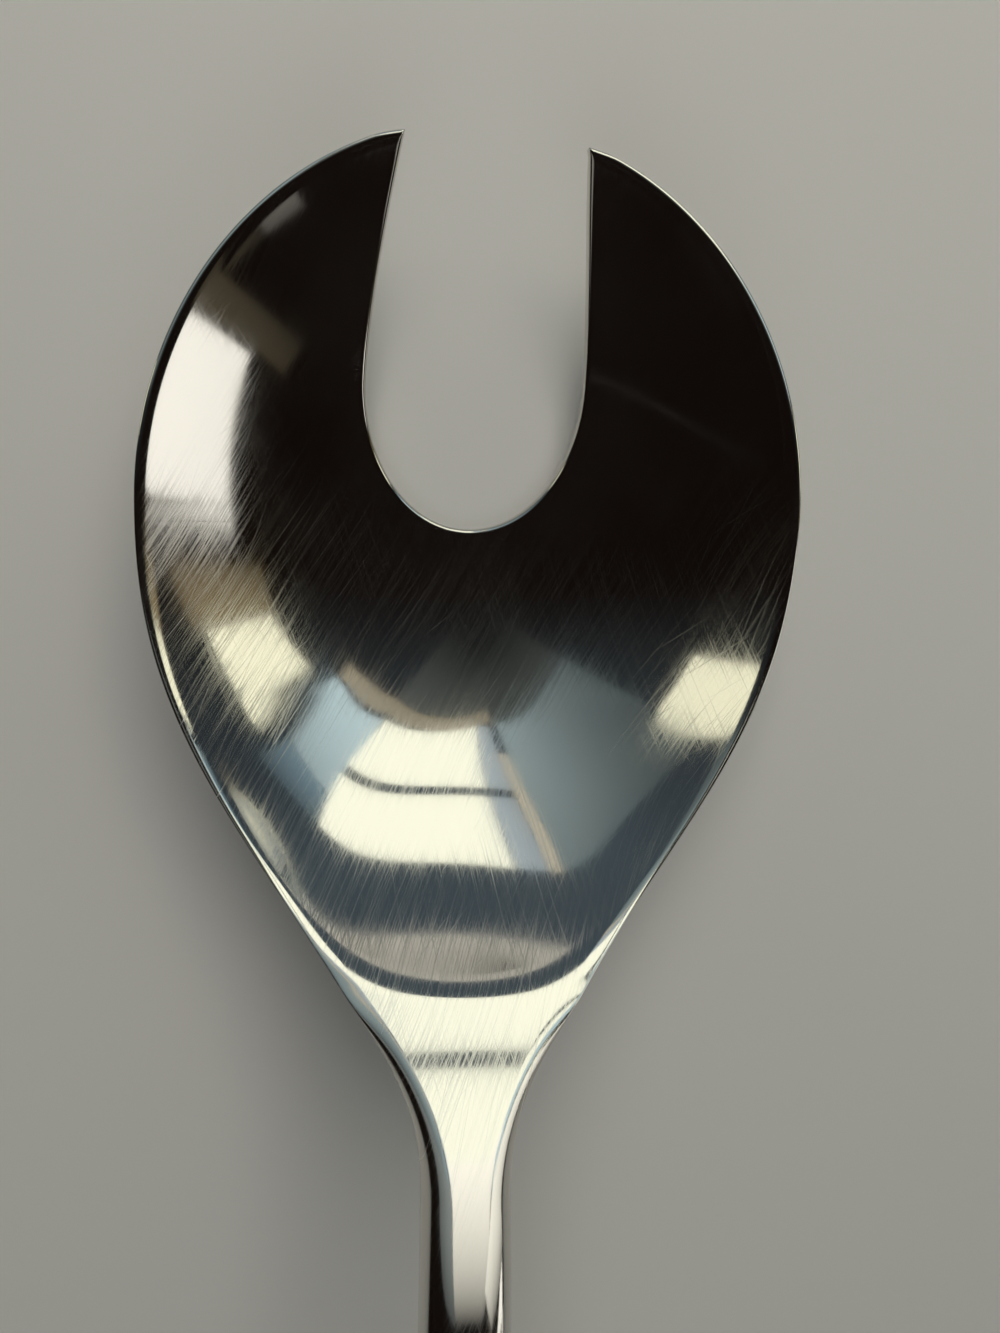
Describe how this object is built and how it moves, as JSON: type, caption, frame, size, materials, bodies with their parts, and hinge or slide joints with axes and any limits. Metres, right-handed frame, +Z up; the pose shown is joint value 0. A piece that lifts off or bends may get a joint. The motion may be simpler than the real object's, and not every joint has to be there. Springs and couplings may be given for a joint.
{
  "type": "salad server",
  "caption": "Polished steel salad server with a round notched bowl that ends in pointed prongs, a thick rounded neck and an arched hollow handle, for tossing and serving salad.",
  "frame": {"origin": "middle of the server's length and width, on the table that it lies on", "axes": "+Y along the server to the prong tips, +Z up out of the hollow side, +X to the right when seen from above with the tips up"},
  "size_m": [0.06, 0.25, 0.0434],
  "materials": {
    "polished_steel": "mirror-polished stainless steel with fine hairline scratches",
    "handle_steel": "mirror-polished stainless steel sheet, seam ground flush",
    "resin_cement": "cast filled resin, matt"
  },
  "bodies": {
    "root": {"head": "polished_steel", "handle_upper_shell": "handle_steel", "handle_lower_shell": "handle_steel", "tang_cement": "resin_cement"}
  },
  "joints": []
}
